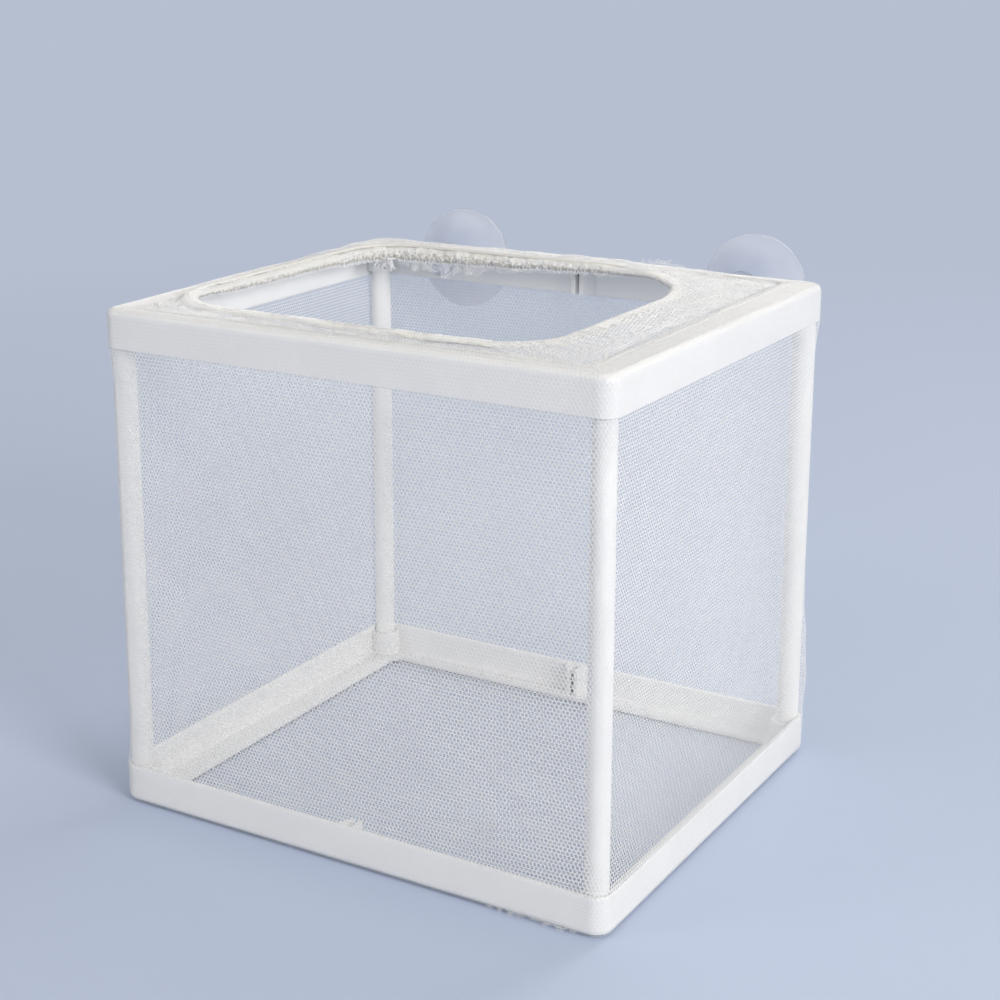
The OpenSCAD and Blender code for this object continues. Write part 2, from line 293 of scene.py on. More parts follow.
def rounded_profile(corners, steps=6):
    """A profile whose corners (radius, along, fillet) are rounded by their fillets."""
    made = []
    for i, (r, y, fillet) in enumerate(corners):
        here = Vector((r, y))
        if fillet <= 0 or i in (0, len(corners) - 1):
            made.append(tuple(here))
            continue
        to_last = Vector(corners[i - 1][:2]) - here
        to_next = Vector(corners[i + 1][:2]) - here
        half = to_last.angle(to_next) / 2
        reach = min(fillet / math.tan(half), 0.45 * to_last.length, 0.45 * to_next.length)
        start = here + to_last.normalized() * reach
        end = here + to_next.normalized() * reach
        for k in range(steps + 1):
            t = k / steps
            made.append(tuple(start * (1 - t) ** 2 + here * 2 * t * (1 - t) + end * t**2))
    return made


def add_threads(name, paths, radius, material, sides=6):
    """Round threads along the paths, which all have the same number of points."""
    paths = np.asarray(paths)
    count, steps = paths.shape[:2]
    along = np.gradient(paths, axis=1)
    along /= np.maximum(np.linalg.norm(along, axis=-1, keepdims=True), 1e-12)
    # Any direction that the threads don't run in gives their sides.
    side = np.cross(along, (0.31, 0.17, 0.93))
    side /= np.maximum(np.linalg.norm(side, axis=-1, keepdims=True), 1e-12)
    other = np.cross(along, side)
    # Threads taper to a point at both ends, which closes them.
    taper = np.ones(steps)
    taper[[0, -1]] = 0.05
    angle = np.linspace(0, 2 * np.pi, sides, endpoint=False)
    ring = side[..., None, :] * np.cos(angle)[:, None] + other[..., None, :] * np.sin(angle)[:, None]
    points = paths[:, :, None] + ring * (radius * taper)[None, :, None, None]
    grid = np.arange(count * steps * sides).reshape(count, steps, sides)
    after = np.roll(grid, -1, axis=2)
    faces = quads(grid[:, :-1], after[:, :-1], after[:, 1:], grid[:, 1:])
    return add_mesh(name, points.reshape(-1, 3), faces, material)


# ---- materials


def fill_in(node, **values):
    """Sets constant inputs of a shader node. An input's name has _ for each space."""
    for name, value in values.items():
        node.inputs[name.replace("_", " ")].default_value = value


class Material:
    """A Principled material with short helpers for its nodes."""

    def __init__(self, name, roughness, **constants):
        self.material = bpy.data.materials.new(name)
        self.material.use_nodes = True
        self.tree = self.material.node_tree
        self.shader = self.tree.nodes["Principled BSDF"]
        fill_in(self.shader, Roughness=roughness, **constants)
        self.place = self.add("ShaderNodeTexCoord").outputs["Object"]

    def add(self, kind, **settings):
        node = self.tree.nodes.new(kind)
        for name, value in settings.items():
            setattr(node, name, value)
        return node

    def link(self, a, b):
        self.tree.links.new(a, b)

    def noise(self, size, detail=3.0, roughness=0.5, place=None):
        """Noise with features of about this size, in metres."""
        node = self.add("ShaderNodeTexNoise")
        fill_in(node, Scale=1 / size, Detail=detail, Roughness=roughness)
        self.link(place or self.place, node.inputs["Vector"])
        return node.outputs["Fac"]

    def cells(self, size):
        """The distance to the nearest of points about this far apart."""
        node = self.add("ShaderNodeTexVoronoi")
        fill_in(node, Scale=1 / size)
        self.link(self.place, node.inputs["Vector"])
        return node.outputs["Distance"]

    def bands(self, size, distortion=1.0):
        """Slanting bands about this wide."""
        node = self.add("ShaderNodeTexWave", wave_type="BANDS", bands_direction="DIAGONAL")
        fill_in(node, Scale=1 / size / math.tau, Distortion=distortion)
        self.link(self.place, node.inputs["Vector"])
        return node.outputs["Fac"]

    def ramp(self, value, *stops):
        node = self.add("ShaderNodeValToRGB")
        while len(node.color_ramp.elements) < len(stops):
            node.color_ramp.elements.new(0.5)
        for element, (at, colour) in zip(node.color_ramp.elements, stops):
            element.position = at
            element.color = (*colour, 1)
        self.link(value, node.inputs["Fac"])
        return node.outputs["Color"]

    def spread(self, value, low, high, source=(0.3, 0.7)):
        """value's usual range mapped onto low to high."""
        node = self.add("ShaderNodeMapRange")
        fill_in(node, From_Min=source[0], From_Max=source[1], To_Min=low, To_Max=high)
        self.link(value, node.inputs["Value"])
        return node.outputs["Result"]

    def multiply(self, a, b, share):
        """Colour a darkened by colour b. share is a number or an output."""
        node = self.add("ShaderNodeMix", data_type="RGBA", blend_type="MULTIPLY")
        if isinstance(share, (int, float)):
            fill_in(node, Factor=share)
        else:
            self.link(share, node.inputs["Factor"])
        # Its two colours are inputs 6 and 7.
        self.link(a, node.inputs[6])
        self.link(b, node.inputs[7])
        return node.outputs[2]

    def height(self, axis):
        """The place along one axis, in metres."""
        node = self.add("ShaderNodeSeparateXYZ")
        self.link(self.place, node.inputs["Vector"])
        return node.outputs[axis]

    def scaled(self, scale):
        """The place, stretched or squashed along each axis."""
        node = self.add("ShaderNodeMapping")
        fill_in(node, Scale=scale)
        self.link(self.place, node.inputs["Vector"])
        return node.outputs["Vector"]

    def distance(self, place):
        """How far a place is from the origin."""
        node = self.add("ShaderNodeVectorMath", operation="LENGTH")
        self.link(place, node.inputs[0])
        return node.outputs["Value"]

    def colour(self, output):
        self.link(output, self.shader.inputs["Base Color"])

    def rough(self, output):
        self.link(output, self.shader.inputs["Roughness"])

    def bumps(self, *layers):
        """Each layer is (height from 0 to 1, its depth in metres)."""
        last = None
        for height, depth in layers:
            node = self.add("ShaderNodeBump")
            fill_in(node, Strength=1, Distance=depth)
            self.link(height, node.inputs["Height"])
            if last is not None:
                self.link(last, node.inputs["Normal"])
            last = node.outputs["Normal"]
        self.link(last, self.shader.inputs["Normal"])


# Light goes a little way into the plastic.
SOFT_WHITE = {"Subsurface_Weight": 0.35, "Subsurface_Radius": (1, 1, 1), "Subsurface_Scale": 2.5 * MM}


def moulded_plastic():
    """White polypropylene with a satin moulded skin, faint flow clouds and handling marks."""
    m = Material("frame_plastic", 0.4, Specular_IOR_Level=0.4, **SOFT_WHITE)
    clouds = m.ramp(m.noise(22 * MM), (0.3, (0.83, 0.83, 0.83)), (0.7, (0.86, 0.86, 0.855)))
    grit = m.noise(1.7 * MM, detail=5, roughness=0.7)
    specks = m.ramp(grit, (0.26, (0.72, 0.72, 0.7)), (0.36, (1, 1, 1)))
    m.colour(m.multiply(clouds, specks, 0.3))
    m.rough(m.spread(m.noise(5 * MM, detail=4), 0.34, 0.48))
    m.bumps((m.noise(0.35 * MM, detail=2), 0.012 * MM), (m.noise(9 * MM, detail=1), 0.05 * MM))
    return m.material


def post_plastic():
    """The posts are drawn tube: the same white, with fine lines along Z."""
    m = Material("post_plastic", 0.34, Specular_IOR_Level=0.4, **SOFT_WHITE)
    lines = m.noise(0.5 * MM, detail=3, place=m.scaled((1, 1, 0.04)))
    m.colour(m.ramp(m.noise(18 * MM), (0.3, (0.83, 0.83, 0.82)), (0.7, (0.86, 0.86, 0.85))))
    m.rough(m.spread(lines, 0.3, 0.44))
    m.bumps((lines, 0.01 * MM))
    return m.material


def net_yarn():
    """White nylon monofilament, twisted and heat-set."""
    m = Material("net_yarn", 0.5, Specular_IOR_Level=0.35)
    m.colour(m.ramp(m.noise(14 * MM), (0.3, (0.81, 0.81, 0.825)), (0.7, (0.85, 0.85, 0.855))))
    fine = m.noise(0.12 * MM, detail=2)
    m.rough(m.spread(fine, 0.45, 0.6))
    m.bumps((fine, 0.006 * MM))
    return m.material


# Below this height the fat part of the hem is a coarse seam, with painted shade between its stitches.
SEAM_Z = HEM_MIDDLE_Z - 1.3 * MM


def seam_shade(m, colour):
    """colour with painted shade in the gaps between the stitches of the hem's seam."""
    gaps = m.ramp(m.noise(0.8 * MM, detail=1), (0.38, (0.62, 0.59, 0.52)), (0.5, (1, 1, 1)))
    low = m.spread(m.height("Z"), 1, 0, source=(SEAM_Z - 0.5 * MM, SEAM_Z + 0.3 * MM))
    return m.multiply(colour, gaps, low)


def gathered_yarn(name, warm, seam=False):
    """The same yarn, bunched and sewn, with lint in it. warm is the colour of its older patches; seam adds
    painted shade between the stitches.
    """
    m = Material(name, 0.7, Specular_IOR_Level=0.3, Sheen_Weight=0.2)
    patches = m.ramp(m.noise(8 * MM, detail=4), (0.36, (0.86, 0.865, 0.885)), (0.7, warm))
    lint = m.ramp(m.noise(0.8 * MM, detail=4), (0.3, (0.88, 0.88, 0.87)), (0.5, (1, 1, 1)))
    colour = m.multiply(patches, lint, 0.6)
    m.colour(seam_shade(m, colour) if seam else colour)
    m.rough(m.spread(m.noise(0.4 * MM), 0.6, 0.85))
    m.bumps((m.noise(0.2 * MM, detail=3), 0.02 * MM))
    return m.material


def hem_cloth():
    """The rolled core of the hem: many layers of net pressed together, a little yellower."""
    m = Material("hem_cloth", 0.8, Sheen_Weight=0.3)
    pores = m.cells(0.6 * MM)
    shade = m.ramp(pores, (0.0, (0.72, 0.715, 0.69)), (0.3, (0.84, 0.84, 0.825)), (0.8, (0.86, 0.86, 0.855)))
    warm = m.ramp(m.noise(6 * MM), (0.35, (1, 1, 1)), (0.7, (0.975, 0.965, 0.925)))
    m.colour(seam_shade(m, m.multiply(shade, warm, 0.8)))
    m.rough(m.spread(m.noise(1.1 * MM), 0.72, 0.9))
    m.bumps((pores, 0.1 * MM), (m.noise(0.25 * MM), 0.05 * MM))
    return m.material


def shaded_stitch_thread():
    m = Material("shaded_stitch_thread", 0.6, Sheen_Weight=0.2)
    # Its dark grey is painted shade, standing in for the shadowed holes between the seam's stitches.
    m.colour(m.ramp(m.noise(3 * MM), (0.3, (0.44, 0.42, 0.38)), (0.7, (0.58, 0.565, 0.53))))
    twist = m.bands(0.12 * MM)
    m.rough(m.spread(twist, 0.5, 0.7, source=(0, 1)))
    m.bumps((twist, 0.02 * MM))
    return m.material


def elastic_rubber():
    m = Material("elastic", 0.7)
    ribs = m.bands(0.2 * MM, distortion=0.4)
    m.colour(m.ramp(ribs, (0, (0.62, 0.61, 0.58)), (1, (0.76, 0.75, 0.72))))
    m.rough(m.spread(m.noise(0.6 * MM), 0.6, 0.8))
    m.bumps((ribs, 0.03 * MM))
    return m.material


def cup_vinyl():
    """Milky clear vinyl, cloudier towards the thin rim, with soft moulding waves."""
    m = Material("cup_vinyl", 0.3, IOR=1.4, Specular_IOR_Level=0.4)
    from_axis = m.distance(m.scaled((1, 0, 1)))
    m.link(m.spread(from_axis, 0.95, 0.74, source=(6 * MM, 13 * MM)), m.shader.inputs["Transmission Weight"])
    m.colour(m.ramp(m.noise(7 * MM), (0.3, (0.84, 0.86, 0.92)), (0.7, (0.91, 0.93, 0.97))))
    # The head and stem are frosted.
    m.rough(m.spread(m.height("Y"), 0.75, 0.33, source=(3 * MM, 7 * MM)))
    m.bumps((m.noise(3.5 * MM, detail=2), 0.03 * MM), (m.noise(0.5 * MM), 0.01 * MM))
    return m.material


PLASTIC = moulded_plastic()
POST_PLASTIC = post_plastic()
YARN = net_yarn()
GATHERED = gathered_yarn("gathered_yarn", (0.865, 0.868, 0.87))
HEM_YARN = gathered_yarn("hem_yarn", (0.855, 0.85, 0.82), seam=True)
HEM_CLOTH = hem_cloth()
SHADED_THREAD = shaded_stitch_thread()
RUBBER = elastic_rubber()
VINYL = cup_vinyl()


def paint(node, material):
    """Gives a CAD node its material."""
    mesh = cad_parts[node].data
    mesh.materials.clear()
    mesh.materials.append(material)


for ring in ("top_ring", "bottom_ring"):
    paint(ring, PLASTIC)
for post in ("front_left_post", "front_right_post", "back_left_post", "back_right_post"):
    paint(post, POST_PLASTIC)
paint("mouth_elastic", RUBBER)

# ---- the bag's walls

LOW_Z = REST
LOW_R = RING_BOTTOM + RING_EDGE_R - LOW_Z
HIGH_Z = RING_TOP + REST
HIGH_R = RING_EDGE_R + REST
LOW_ARC = LOW_R * math.pi / 2
HIGH_ARC = HIGH_R * math.pi / 2
WALL_STRAIGHT = HIGH_Z - HIGH_R - LOW_Z - LOW_R
WALL_LENGTH = LOW_ARC + WALL_STRAIGHT + HIGH_ARC
RING_LINE = box_outline(RING_HALF.x + REST, RING_HALF.y + REST, RING_CORNER_R + REST)
HUG_R = POST_R + REST
POST_LINE = box_outline(POST_AT.x + HUG_R, POST_AT.y + HUG_R, HUG_R)
SPAN = RING_FREE_HIGH - RING_FREE_LOW
# How far the slack net stands off the back right post, and where.
SLACK_REACH = 1.9 * MM
SLACK_Z = 29 * MM
SLACK_HEIGHT = 15 * MM
# The walls' long and short wrinkles.
LONG_WRINKLE = 0.55 * MM
SHORT_WRINKLE = 0.22 * MM


def membrane(side, half_side, z):
    """How far the taut net is drawn in, from 0 on the rings to 1 on the posts."""
    height = np.clip((z - RING_FREE_LOW) / SPAN, 0, 1)
    side = np.clip(np.abs(side), 0, half_side)
    total = np.zeros_like(z)
    terms = 15
    for k in range(1, terms + 1, 2):
        weight = 4 / (k * math.pi) * np.sinc(k / (terms + 1))
        rate = k * math.pi / SPAN
        fall = np.exp(rate * (side - half_side)) * (1 + np.exp(-2 * rate * side))
        fall /= 1 + np.exp(-2 * rate * half_side)
        total += weight * np.sin(k * math.pi * height) * fall
    return np.clip(total, 0, 1)


def wall_profile(v):
    """(inset from the bag's outline, height) up the wall, from under the bottom edge to over the top one."""
    low = np.clip(v, 0, LOW_ARC) / LOW_R
    high = np.clip(v - LOW_ARC - WALL_STRAIGHT, 0, HIGH_ARC) / HIGH_R
    inset = LOW_R * (1 - np.sin(low)) + HIGH_R * (1 - np.cos(high))
    z = LOW_Z + LOW_R * (1 - np.cos(low)) + np.clip(v - LOW_ARC, 0, WALL_STRAIGHT)
    z = z + HIGH_R * np.sin(high)
    past = np.maximum(v - WALL_LENGTH, 0) - np.minimum(v, 0)
    return inset + past, z


def wall_surface(s, v):
    """The net wall: flat on the rings, drawn in to the posts between them, a little slack."""
    inset, z = wall_profile(v)
    on_ring, normal = RING_LINE.at(s)
    turn = np.mod(s, RING_LINE.length)
    on_post = np.stack([np.interp(turn, RING_LINE.s, POST_LINE.points[:, k]) for k in (0, 1)], -1)
    sideways = np.abs(normal[:, 0]) > np.abs(normal[:, 1])
    along = np.where(sideways, on_ring[:, 1], on_ring[:, 0])
    half = np.where(sideways, RING_HALF.y, RING_HALF.x) - RING_CORNER_R
    drawn = membrane(along, half, z)
    xy = on_ring + (on_post - on_ring) * drawn[:, None]
    # Slack: long shallow wrinkles that fade out at the rings and posts.
    open_net = np.clip((z - RING_FREE_LOW) / SPAN, 0, 1)
    loose = np.sin(np.pi * open_net) * (1 - bump(RING_LINE.to_corner(s) - 4 * MM, 7 * MM))
    wrinkle = LONG_WRINKLE * smooth_noise(s / (26 * MM) + z / (60 * MM), z / (34 * MM), 11)
    wrinkle += SHORT_WRINKLE * smooth_noise(s / (9 * MM) - z / (22 * MM), z / (30 * MM), 12)
    out = np.clip(loose, 0, 1) * wrinkle
    # The back right corner stands off its post near the bottom.
    corner = RING_LINE.corner_s[2]
    near = bump(turn - corner + 2 * MM, 8 * MM) * bump(z - SLACK_Z, SLACK_HEIGHT)
    out += SLACK_REACH * near * (0.8 + 0.35 * smooth_noise(z / (4 * MM), s / (5 * MM), 13))
    xy = xy + normal * (out - inset)[:, None]
    return np.concatenate([xy, z[:, None]], -1)


def along_side(i, share):
    """The distance along the bag's outline of a share of its side i."""
    start, end = RING_LINE.corner_s[i], RING_LINE.corner_s[i + 1]
    return start + (end - start) * share


def add_walls(seams):
    """seams holds the loose edges that stand out of some of the pieces."""
    columns = round(RING_LINE.length / NET_PITCH)
    rows = round(WALL_LENGTH / (NET_PITCH * ROW))
    pitch = (RING_LINE.length / columns, WALL_LENGTH / rows)
    cells = net_cells(columns, rows)
    middle, _ = cell_places(cells, pitch)
    # Each side is three pieces, which keeps their meshes to a size that exports whole.
    for i, side in enumerate(("front_net", "right_net", "back_net", "left_net")):
        for k, part in enumerate("abc"):
            low, high = along_side(i, k / 3), along_side(i, (k + 1) / 3)
            name = f"{side}ting_{part}"
            obj = add_net(name, cells[(middle >= low) & (middle < high)], pitch, wall_surface, YARN)
            on_box(obj, side)
            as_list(seams.get(name, []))


# ---- the bottom

BOTTOM_HALF = Vector((RING_HALF.x + REST - LOW_R, RING_HALF.y + REST - LOW_R))
# Creases near the back left corner: (how far back in mm, its change to the right).
BOTTOM_CREASES = ((54, 0.02), (49.5, 0.09), (46, 0.03))


def bottom_surface(u, v):
    """The bottom net, flat with faint ripples and a few creases."""
    x = u - BOTTOM_HALF.x
    y = v - BOTTOM_HALF.y
    inside = np.clip(1 - np.maximum(np.abs(x) / BOTTOM_HALF.x, np.abs(y) / BOTTOM_HALF.y), 0, 0.2) * 5
    z = LOW_Z + 0.2 * MM * inside * (1 + smooth_noise(x / (16 * MM), y / (11 * MM), 21))
    for back, slope in BOTTOM_CREASES:
        line = back * MM + slope * (x + 60 * MM) + 0.8 * MM * ripple(x, 14 * MM, 22, back)
        z = z + 0.7 * MM * bump(y - line, 0.9 * MM) * bump(x + 36 * MM, 22 * MM)
    return np.stack([x, y, z], -1)


def add_bottom():
    pitch = (NET_PITCH, NET_PITCH * ROW)
    columns = round(2 * BOTTOM_HALF.x / pitch[0])
    rows = round(2 * BOTTOM_HALF.y / pitch[1])
    cells = net_cells(columns, rows)
    u, v = cell_places(cells, pitch)
    x, y = u - BOTTOM_HALF.x, v - BOTTOM_HALF.y
    corner_r = RING_CORNER_R + REST - LOW_R
    over_x = np.maximum(np.abs(x) - (BOTTOM_HALF.x - corner_r), 0)
    over_y = np.maximum(np.abs(y) - (BOTTOM_HALF.y - corner_r), 0)
    inside = np.hypot(over_x, over_y) < corner_r
    share = x / BOTTOM_HALF.x
    for k, part in enumerate("abc"):
        keep = inside & (share >= (2 * k - 3) / 3) & (share < (2 * k - 1) / 3)
        obj = add_net(f"bottom_netting_{part}", cells[keep], pitch, bottom_surface, YARN)
        on_box(obj, "bottom_net")


# ---- the gathered top

# Past the flange the net sinks this deep, and comes back over about this distance.
CREASE_DEPTH = 1.9 * MM
CREASE_REACH = 2.6 * MM
# How high the gathers rise at the hem, and how thick the padded margins are.
GATHER_HEIGHT = 1.5 * MM
PAD_HEIGHT = 1.5 * MM
# Folds where the gathered net doubles back: how far each is from the outer edge, and its height, in mm.
FOLDS = ((9.5, 0.7), (14.5, 0.6), (19, 0.5))
TOP_OUTER = box_outline(RING_HALF.x - RING_EDGE_R, RING_HALF.y - RING_EDGE_R, RING_CORNER_R - RING_EDGE_R)
HEM_LINE = mouth_outline(HEM_INSET)
CORNER_S = HEM_LINE.corner_s


def past_flange(xy):
    """How far each point lies inside the edge of the top ring's flange."""
    return np.minimum(FLANGE_HALF.x - np.abs(xy[:, 0]), FLANGE_HALF.y - np.abs(xy[:, 1]))


def stretch(u, *ends):
    """1 along a stretch of the mouth, sloping to 0 at both sides of it.

    Its four ends are each a corner and how many mm past that corner.
    """
    places = [CORNER_S[corner] + past * MM for corner, past in ends]
    return np.interp(np.mod(u, HEM_LINE.length), places, (0, 1, 1, 0))


class HemSize:
    """The hem's section at the distances u along the mouth.

    On the front and right it is a flat gathered band. On the back and left it is thicker and
    droops into the mouth.
    """

    def __init__(self, u):
        self.fat = stretch(u, (2, 6), (2, 40), (4, -34), (4, -6))
        self.inwards = 1.3 * MM * stretch(u, (3, -4), (3, 16), (4, -24), (4, 0))
        # It is thickest on the left half of the back and round the corner there.
        thickest = stretch(u, (2, 45), (3, -25), (3, 6), (3, 30))

        def size(flat, fat_adds, thickest_adds=0):
            return (flat + fat_adds * self.fat + thickest_adds * thickest) * MM

        self.half_w = size(2.3, 0.2)
        self.half_h = size(0.72, 0.78, 0.7)
        self.z = HEM_MIDDLE_Z - size(0.42, 1.28, 0.85)


def across_margin(s):
    """For distances s along the top's outer edge: the edge point, its hem point and the hem's s."""
    turn = np.mod(s, TOP_OUTER.length)
    hem_s = np.interp(turn, TOP_OUTER.corner_s, CORNER_S)
    return TOP_OUTER.at(s)[0], HEM_LINE.at(hem_s)[0], hem_s


def pleats(s, seed):
    """Irregular gathers along the hem, from 0 to 1."""
    wander = 1.3 * ripple(s, 11 * MM, seed, 0.5)
    wave = 0.5 + 0.5 * np.sin(2 * np.pi * s / (3.7 * MM) + 2.2 * wander)
    fine = 0.5 + 0.5 * ripple(s, 1.6 * MM, seed + 1, 0.5)
    return 0.7 * wave + 0.3 * fine


def top_layer(seed, lift, offset):
    """A layer of the gathered net between the top's edge and the hem, lifted and shifted along."""

    def surface(s, v):
        s = s + offset
        edge, hem, hem_s = across_margin(s)
        width = np.linalg.norm(hem - edge, axis=-1)
        xy = edge + (hem - edge) * (v / width)[:, None]
        free = past_flange(xy)
        past = np.clip(free / (5 * MM), 0, 1)
        to_hem = np.clip(width - v, 0, None)
        gather = np.clip(1 - to_hem / (16 * MM), 0.25, 1) * past
        # Over the flange the net is flat. Past it the net sinks into a crease, then bulges to the hem.
        fold = 0.55 * pleats(hem_s + 0.3 * v, seed)
        fold = fold + 0.45 * (0.5 + 0.5 * smooth_noise(s / (3.2 * MM), v / (2.6 * MM), seed + 2))
        z = HIGH_Z + lift + GATHER_HEIGHT * gather * fold
        # It drops steeply off the flange's edge and comes back slowly.
        off = np.clip(free, 0, None)
        size = HemSize(hem_s)
        crease = (1 - bump(off, 0.4 * MM)) * np.exp(-off / CREASE_REACH) * (1 - 0.8 * size.fat)
        z = z - CREASE_DEPTH * crease * (0.8 + 0.4 * ripple(s, 9 * MM, seed + 6))
        for at, tall in FOLDS:
            where = v - at * MM - 1.4 * MM * ripple(s, 17 * MM, seed + 3, at)
            strength = np.clip(1.4 * ripple(s, 8 * MM, seed + 4, at) - 0.1, 0, 1)
            z = z + tall * MM * strength * past * (bump(where, 0.6 * MM) - bump(where - 1.1 * MM, 0.5 * MM))
        z = z + 0.06 * MM * (1 + smooth_noise(s / (6 * MM), v / (4 * MM), seed + 5)) * np.clip(v / MM, 0, 1)
        # On the back and left the whole margin is padded.
        pad = np.sin(np.pi / 2 * np.clip(2.5 * v / width, 0.02, 1)) ** 0.6
        pad = pad * (0.8 + 0.35 * smooth_noise(s / (8 * MM), v / (6 * MM), seed + 7))
        z = z + PAD_HEIGHT * size.fat * pad
        # The last stretch rises over the hem's shoulder.
        rise = np.clip(1 - to_hem / (1.6 * size.half_w), 0, 1) ** 0.8
        xy = xy + (hem - edge) / width[:, None] * (rise * size.inwards)[:, None]
        shoulder = size.z + 1.1 * size.half_h + 0.25 * MM * fold
        z = z + (shoulder - z) * rise
        # Where the hem is flat the net wraps right over it.
        over = np.clip((v - width) / size.half_w, 0, 0.98)
        z = z - 1.2 * size.half_h * (1 - np.sqrt(1 - over**2))
        return np.concatenate([xy, z[:, None]], -1)

    return surface


def add_top():
    columns = round(TOP_OUTER.length / GATHER_PITCH[0])
    pitch = (TOP_OUTER.length / columns, GATHER_PITCH[1])
    # More rows than the widest margin takes.
    cells = net_cells(columns, 60)
    s, v = cell_places(cells, pitch)
    edge, hem, hem_s = across_margin(s)
    width = np.linalg.norm(hem - edge, axis=-1)
    # Where the hem is flat the net runs on over it, to a ragged edge.
    ragged = 0.35 * MM * ripple(s, 1.4 * MM, 65)
    inside = v < width - 0.4 * MM + (1 - HemSize(hem_s).fat) * (2.3 * MM + ragged)
    off_flange = past_flange(edge + (hem - edge) * (v / width)[:, None]) > -2 * MM
    on_right = (s >= TOP_OUTER.corner_s[1]) & (s < TOP_OUTER.corner_s[3])
    # One layer of net covers the flange, in two pieces. Past it three layers lie on each other.
    for i, layer_name in enumerate("abc"):
        layer = top_layer(31 + 10 * i, (0.05 + 0.15 * i) * MM, 0.37 * i * MM)
        if i:
            parts = [("", inside & off_flange, 1)]
        else:
            parts = [("_left", inside & ~on_right, 0.5), ("_right", inside & on_right, 0.5)]
        for part, keep, share in parts:
            name = f"top_netting_{layer_name}{part}"
            obj = add_net(name, cells[keep], pitch, layer, GATHERED, untidy=0.38)
            on_box(obj, "top_net")


# ---- the hem

STITCH_ANGLE = math.radians(222)
HEM_SEED = 51
# The way round the fat part of the hem.
HEM_ROUND = 18 * MM
STITCH_PITCH = 1.5 * MM
STITCH_R = 0.17 * MM
PICOT_PITCH = 1.2 * MM
PICOT_R = 0.17 * MM
# The tuft's loops lie in a box of this size.
TUFT_SIZE = (7 * MM, 2 * MM, 4.5 * MM)
TUFT_LOOPS = 24
TUFT_THREAD_R = 0.15 * MM


def hem_shape(grow, seed):
    """The hem's puffed roll: u runs along the mouth, and v round the section from 0 to 1."""

    def surface(u, v):
        middle, normal = HEM_LINE.at(u)
        size = HemSize(u)
        angle = 2 * np.pi * v
        puff = np.abs(np.sin(np.pi * u / (3.1 * MM) + 1.5 * ripple(u, 7 * MM, seed))) ** 0.7
        share = 0.86 + 0.1 * puff + 0.07 * smooth_noise(u / (1.3 * MM), angle * 1.6, seed + 1)
        share = share + 0.1 * ripple(u, 5.5 * MM, seed + 4, 7)
        share = share + 0.1 * size.fat * smooth_noise(u / (0.8 * MM), angle * 2.4, seed + 5)
        # The stitches pull a groove into the inner side.
        share = share - 0.1 * bump(angle - STITCH_ANGLE, 0.13)
        cos, sin = np.cos(angle), np.sin(angle)
        wide = (size.half_w * share + grow) * np.sign(cos) * np.abs(cos) ** 0.85
        tall = (size.half_h * share + grow) * np.sign(sin) * np.abs(sin) ** 0.85
        sway = 0.45 * MM * ripple(u, 9 * MM, seed + 2, 3) - size.inwards
        xy = middle + normal * (wide + sway)[:, None]
        z = size.z + tall + 0.22 * MM * ripple(u, 6 * MM, seed + 3, 5)
        # Where it lies on the flange its underside stays above it.
        on_flange = np.clip(0.5 - past_flange(xy) / (0.8 * MM), 0, 1)
        z = z + on_flange * np.clip(RING_TOP + REST + grow - z, 0, None)
        return np.concatenate([xy, z[:, None]], -1)

    return surface


def add_hem(sewn_on):
    surface = hem_shape(-0.1 * MM, HEM_SEED)
    stations, around = 1300, 28
    grid = np.arange(stations * around).reshape(stations, around)
    u = grid // around * (HEM_LINE.length / stations)
    v = grid % around * (1 / around)
    points = surface(u.ravel(), v.ravel())
    after, above = np.roll(grid, -1, 0), np.roll(grid, -1, 1)
    faces = quads(grid, above, np.roll(after, -1, 1), after)
    core = add_mesh("hem_core", points, faces, HEM_CLOTH)
    on_box(core, "mouth_hem")

    columns = round(HEM_LINE.length / HEM_PITCH)
    rows = 12
    pitch = (HEM_LINE.length / columns, HEM_ROUND / rows)
    shape = hem_shape(0.07 * MM, HEM_SEED)

    def wrapped(u, v):
        return shape(u, v / HEM_ROUND)

    cells = net_cells(columns, rows)
    wrap = add_net("hem_netting", cells, pitch, wrapped, HEM_YARN, strand=HEM_STRAND, untidy=0.2)
    on_box(wrap, "mouth_hem")


def add_stitching():
    """Two rows of stitches hold the hem closed along its inner side."""
    surface = hem_shape(0.16 * MM, HEM_SEED)
    count = round(HEM_LINE.length / STITCH_PITCH)
    spacing = HEM_LINE.length / count
    made = []
    for name, level in (("lower", STITCH_ANGLE), ("upper", STITCH_ANGLE - 0.42)):
        paths = []
        for i in range(count):
            u = (i + np.linspace(0.15, 0.72, 6)) * spacing
            slant = np.linspace(-0.012, 0.012, 6)
            paths.append(surface(u, level / (2 * math.pi) + slant))
        made.append(on_box(add_threads(f"hem_stitching_{name}", paths, STITCH_R, SHADED_THREAD)))
    return made


def add_picots():
    """Zigzag loops of the overlock seam along the lower edge of the fat part."""
    inner, outer = hem_shape(0.1 * MM, HEM_SEED), hem_shape(0.75 * MM, HEM_SEED)
    count = round(HEM_LINE.length / PICOT_PITCH)
    paths = []
    for i in range(count):
        u = (i + np.linspace(0, 1, 7)) * HEM_LINE.length / count
        if HemSize(u[:1]).fat[0] < 0.6:
            continue
        reach = np.sin(np.linspace(0, np.pi, 7)) * (0.75 + 0.45 * hashed(i, 3, 81))
        angle = np.radians(208 + 34 * reach) / (2 * math.pi)
        low, high = inner(u, angle), outer(u, angle)
        paths.append(low + (high - low) * reach[:, None])
    return on_box(add_threads("hem_picots", paths, PICOT_R, GATHERED))


